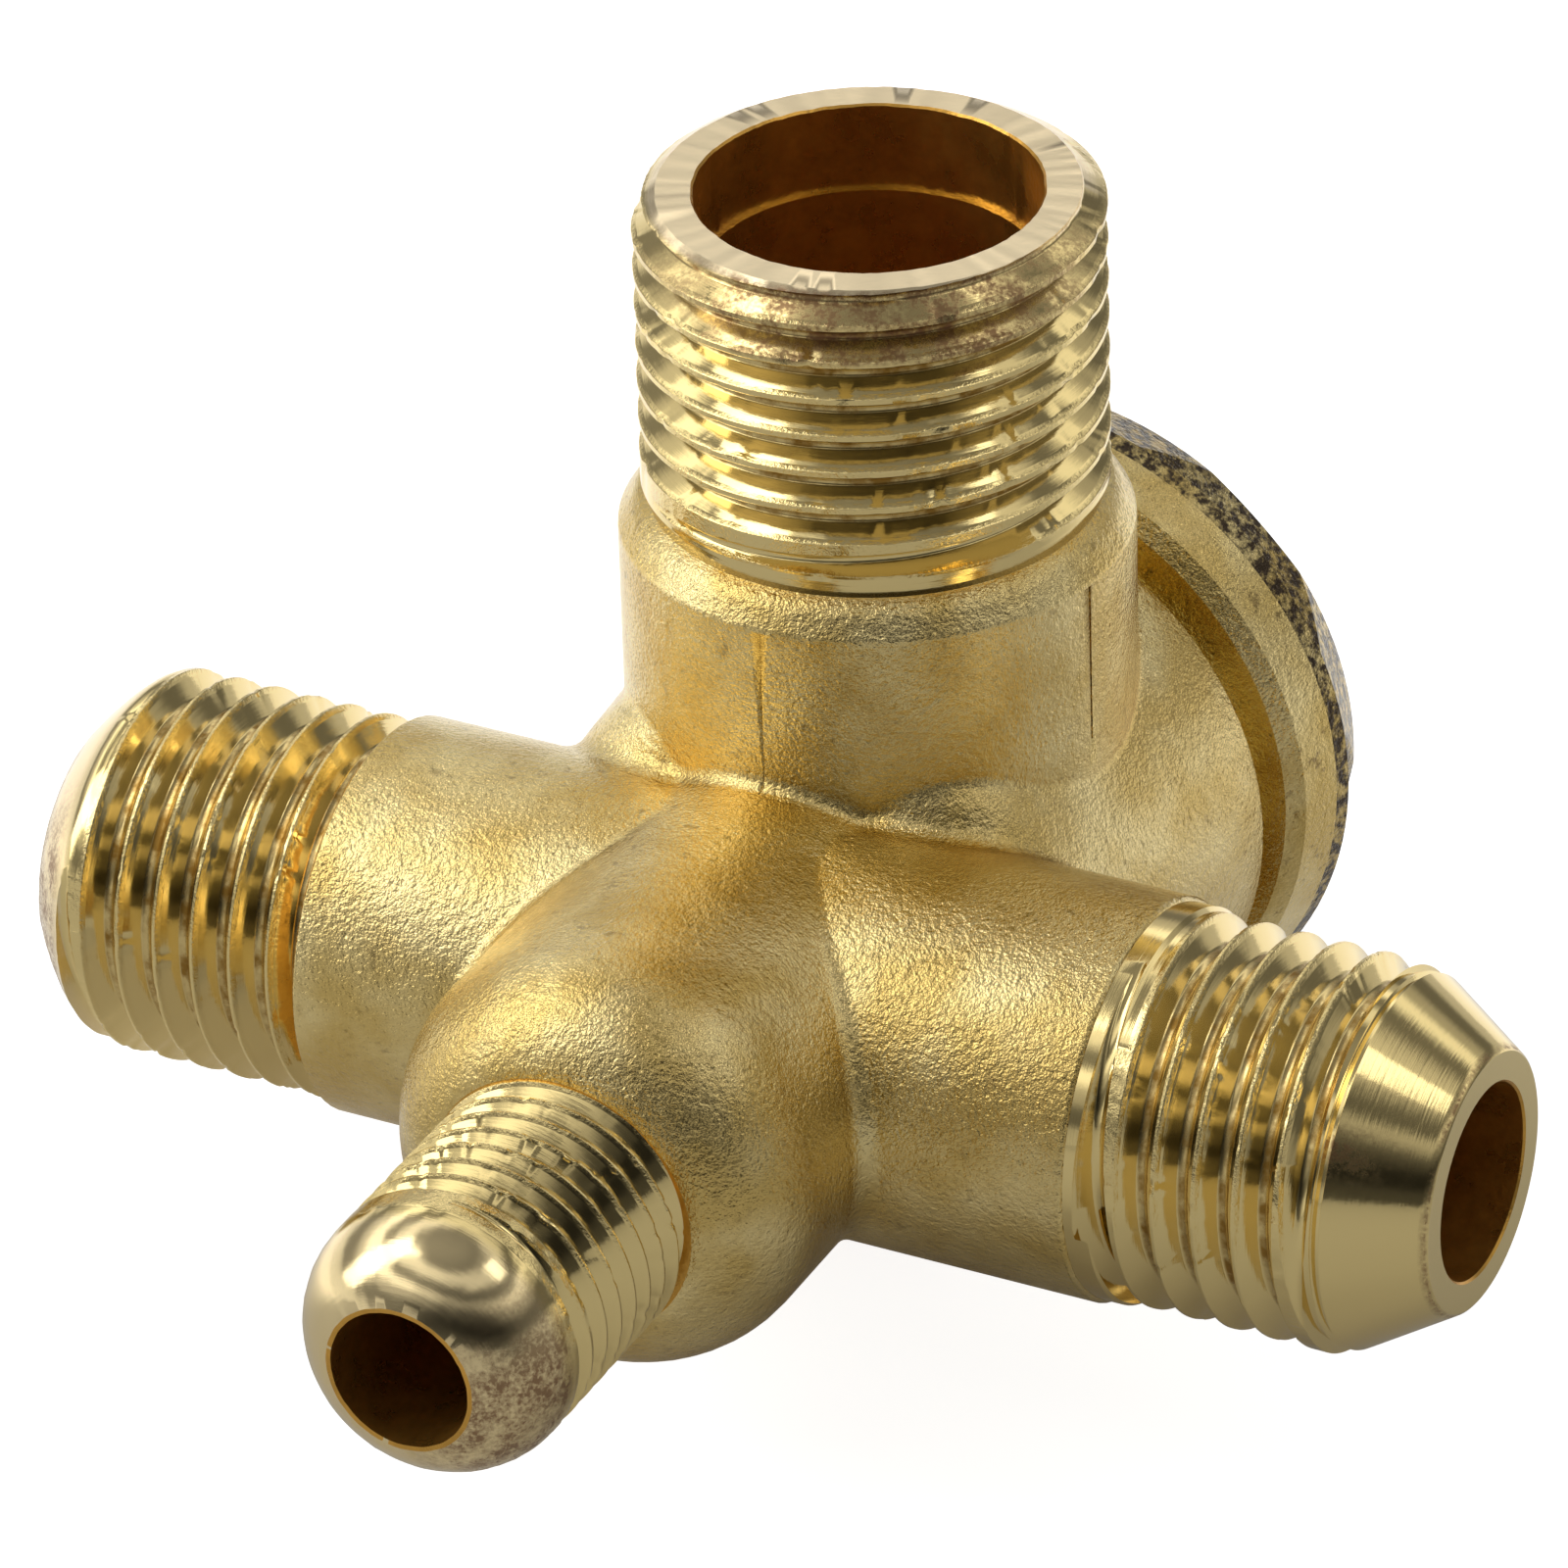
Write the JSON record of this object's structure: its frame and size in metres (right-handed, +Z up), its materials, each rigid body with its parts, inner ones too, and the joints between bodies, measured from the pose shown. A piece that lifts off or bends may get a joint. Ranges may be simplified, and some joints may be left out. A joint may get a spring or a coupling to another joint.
{
  "type": "non-return valve",
  "caption": "Compressor non-return valve: cross-shaped stamped brass body with male threaded ports, and a spring-loaded poppet behind a hexagon cap.",
  "frame": {"origin": "on the tank port's axis, at the foot of its thread", "axes": "+Z up along the tank port, out of its mouth; +X along the run towards the coned port; +Y towards the hexagon cap"},
  "size_m": [0.0687, 0.0643, 0.0507],
  "materials": {
    "body_brass": "grit-blasted brass with a thin bright yellow plating, threads bright",
    "cap_brass": "grit-blasted, darker speckle on the hexagon",
    "washer_brass": "soft bright washer",
    "poppet_brass": "turned",
    "seal_rubber": "matt black",
    "spring_steel": "drawn stainless wire"
  },
  "bodies": {
    "housing": {"valve_body": "body_brass", "end_cap": "cap_brass", "cap_washer": "washer_brass", "poppet_spring": "spring_steel"},
    "shuttle": {"poppet": "poppet_brass", "seal_disc": "seal_rubber"}
  },
  "joints": [
    {"name": "poppet_slide", "type": "slide", "parent": "housing", "child": "shuttle", "axis": [0, 1, 0], "range_m": [0, 0.003], "stiffness_N_per_m": 1350, "springref_m": -0.002, "deforming": ["poppet_spring"]}
  ]
}
